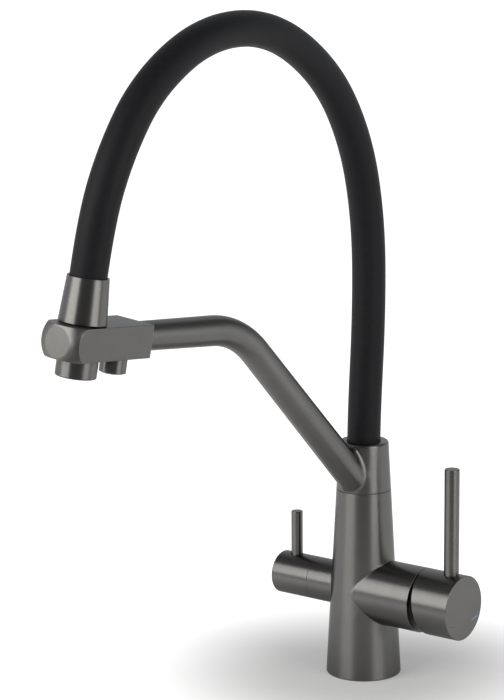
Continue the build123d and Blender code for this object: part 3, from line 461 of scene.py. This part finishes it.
# Mixer cartridge and filter valve
# The mixer's off-white plastic cartridge stands in its branch under a brass nut and a plated cover, and its
# brass stem rocks on a pin. The filter valve is a brass headwork. Each has two white ceramic discs.
cartridge_plastic = moulded_plastic(
    "cartridge_plastic", dark=(0.68, 0.68, 0.64), light=(0.76, 0.76, 0.73), roughness=(0.35, 0.5)
)
ceramic = moulded_plastic(
    "ceramic", dark=(0.84, 0.83, 0.8), light=(0.9, 0.89, 0.86), roughness=(0.06, 0.12), grain=4000.0
)
valve_turned = brushed_gunmetal("gunmetal_valves", level_axis)
level_brass = turned_metal("turned_brass_level", brass_dark, brass_light, brass_roughness, axis=(1, 0, 0))
dress(cartridge_plastic, "cartridge_housing", "disc_carrier", "cartridge_rotor")
dress(ceramic, "fixed_disc", "moving_disc", "filter_fixed_disc", "filter_moving_disc")
dress(level_brass, "cartridge_nut", "filter_headwork", "filter_spindle", "cartridge_stem")
dress(valve_turned, "cartridge_cover")


# Handles, levers and marks
# Plated brass: the mixer's cap and the valve's knob are turned about the level axis, and a rod is pressed
# into each from above. Two enamelled dashes on the cap's face show hot and cold.
enamel_gain = 1.15


def enamel(name, colour):
    """Glossy enamel in an engraved mark."""
    lighter = [part * enamel_gain for part in colour]
    return moulded_plastic(name, colour, lighter, roughness=(0.2, 0.3), grain=2500.0)


lever_turned = brushed_gunmetal("gunmetal_levers", upright_axis, roughness=(0.3, 0.36))
dress(valve_turned, "mixer_handle", "filter_handle")
dress(lever_turned, "mixer_lever", "filter_lever")
dress(enamel("red_enamel", (0.06, 0.016, 0.013)), "hot_mark")
dress(enamel("blue_enamel", (0.1, 0.21, 0.38)), "cold_mark")


# Floor
# A plain grey floor that takes the tap's soft shadow. Where it is seen or reflected it shines white behind
# the tap, and not at all far in front.
# Round the foot it shines less, so that the real shadow stays, and that dimmer ring is also a painted shade
# round the foot.
floor_half = 6.0
floor_colour = (0.38, 0.38, 0.38, 1.0)
floor_roughness = 0.9
floor_shine = 1.0
foot_shine_share = 0.24
foot_shade_reach = 0.04
foot_clear_reach = 0.2
floor_front_reach = 0.42
floor_white_reach = 0.13

floor_mesh = bpy.data.meshes.new("floor")
floor_build = bmesh.new()
bmesh.ops.create_grid(floor_build, x_segments=1, y_segments=1, size=floor_half)
floor_build.to_mesh(floor_mesh)
floor_build.free()
floor = bpy.data.objects.new("floor", floor_mesh)
bpy.context.scene.collection.objects.link(floor)


def seen_or_reflected(tree):
    """One for what the camera sees, and what metal reflects of it, and nothing for light on the tap."""
    path = add_node(tree, "ShaderNodeLightPath").outputs
    reflected = number_math(tree, "MAXIMUM", path["Is Glossy Ray"], path["Is Transmission Ray"])
    return number_math(tree, "MAXIMUM", path["Is Camera Ray"], reflected)


floor_paint, floor_tree, floor_shader = new_material("floor_paint")
floor_place = object_place(floor_tree)
away = Vector((camera_forward.x, camera_forward.y, 0)).normalized()
behind = smooth_step(
    floor_tree, dot_product(floor_tree, floor_place, away), -floor_front_reach, -floor_white_reach
)
# Less shine round the foot paints a soft shade there, on top of the real shadow.
foot_shade_shine = smooth_step(
    floor_tree, from_origin(floor_tree, floor_place),
    foot_shade_reach, foot_clear_reach, foot_shine_share * floor_shine, floor_shine,
)
white_share = number_math(floor_tree, "MULTIPLY", behind, foot_shade_shine)
shine = number_math(floor_tree, "MULTIPLY", white_share, seen_or_reflected(floor_tree))
floor_tree.links.new(shine, floor_shader.inputs["Emission Strength"])
floor_shader.inputs["Emission Color"].default_value = (1.0, 1.0, 1.0, 1.0)
floor_shader.inputs["Base Color"].default_value = floor_colour
floor_shader.inputs["Roughness"].default_value = floor_roughness
floor.data.materials.append(floor_paint)


# Room
# A white wall stands behind the tap and beside it, higher straight behind it, in a dim room with a grey
# ceiling. Only the camera and reflections see them: beside the soft boxes, the tap gets an even, plain fill.
wall_azimuth = 195.0
wall_seen_light = 1.0
wall_edge = (-0.6, -0.25)
wall_top = (0.12, 0.5)
high_wall_azimuth = 215.0
high_wall_edge = (0.72, 0.93)
high_wall_rise = 0.4
room_light = 0.1
ceiling_light = 0.22
fill_light = 0.32
room_tint = (0.96, 0.98, 1.0, 1.0)


def toward(azimuth, elevation=0.0):
    """The direction at an azimuth, in degrees from the front to the right, and at an elevation."""
    turn, rise = math.radians(azimuth), math.radians(elevation)
    return (math.sin(turn) * math.cos(rise), -math.cos(turn) * math.cos(rise), math.sin(rise))


room = bpy.data.worlds.new("studio")
bpy.context.scene.world = room
room.use_nodes = True
room_tree = room.node_tree
sky = room_tree.nodes["Background"]
direction = add_node(room_tree, "ShaderNodeTexCoord").outputs["Generated"]
upward = add_node(room_tree, "ShaderNodeSeparateXYZ", {0: direction}).outputs["Z"]
level = vector_math(room_tree, "NORMALIZE", vector_math(room_tree, "MULTIPLY", direction, (1, 1, 0)))
wall = smooth_step(
    room_tree, dot_product(room_tree, level, toward(wall_azimuth)), *wall_edge, room_light, wall_seen_light
)
high_share = dot_product(room_tree, level, toward(high_wall_azimuth))
wall_rise = smooth_step(room_tree, high_share, *high_wall_edge, 0.0, high_wall_rise)
above = smooth_step(room_tree, number_math(room_tree, "SUBTRACT", upward, wall_rise), *wall_top)
seen_light = mix(room_tree, "FLOAT", above, wall, ceiling_light)
light = mix(room_tree, "FLOAT", seen_or_reflected(room_tree), fill_light, seen_light)
room_tree.links.new(light, sky.inputs["Strength"])
sky.inputs["Color"].default_value = room_tint


# Soft boxes
# Two large soft boxes, one a little to the left of the front and one on the right. Their reflections make
# the light bands along the turned pieces, with a dark gap between them.
box_aim = Vector((0, -0.1, 0.2))
warm = (1.0, 0.985, 0.955)


def soft_box(name, azimuth, elevation, distance, width, height, radiance):
    """A warm soft box that looks at the tap from an azimuth, in degrees from the front to the right."""
    lamp = bpy.data.lights.new(name, "AREA")
    lamp.shape = "RECTANGLE"
    lamp.size = width
    lamp.size_y = height
    lamp.energy = radiance * math.pi * width * height
    lamp.color = warm
    box = bpy.data.objects.new(name, lamp)
    out = Vector(toward(azimuth, elevation))
    box.location = box_aim + out * distance
    box.rotation_euler = out.to_track_quat("Z", "Y").to_euler()
    bpy.context.scene.collection.objects.link(box)


soft_box("left_box", azimuth=-22, elevation=22, distance=1.6, width=1.3, height=1.3, radiance=4.3)
soft_box("right_box", azimuth=87, elevation=14, distance=0.95, width=0.6, height=0.8, radiance=3.3)
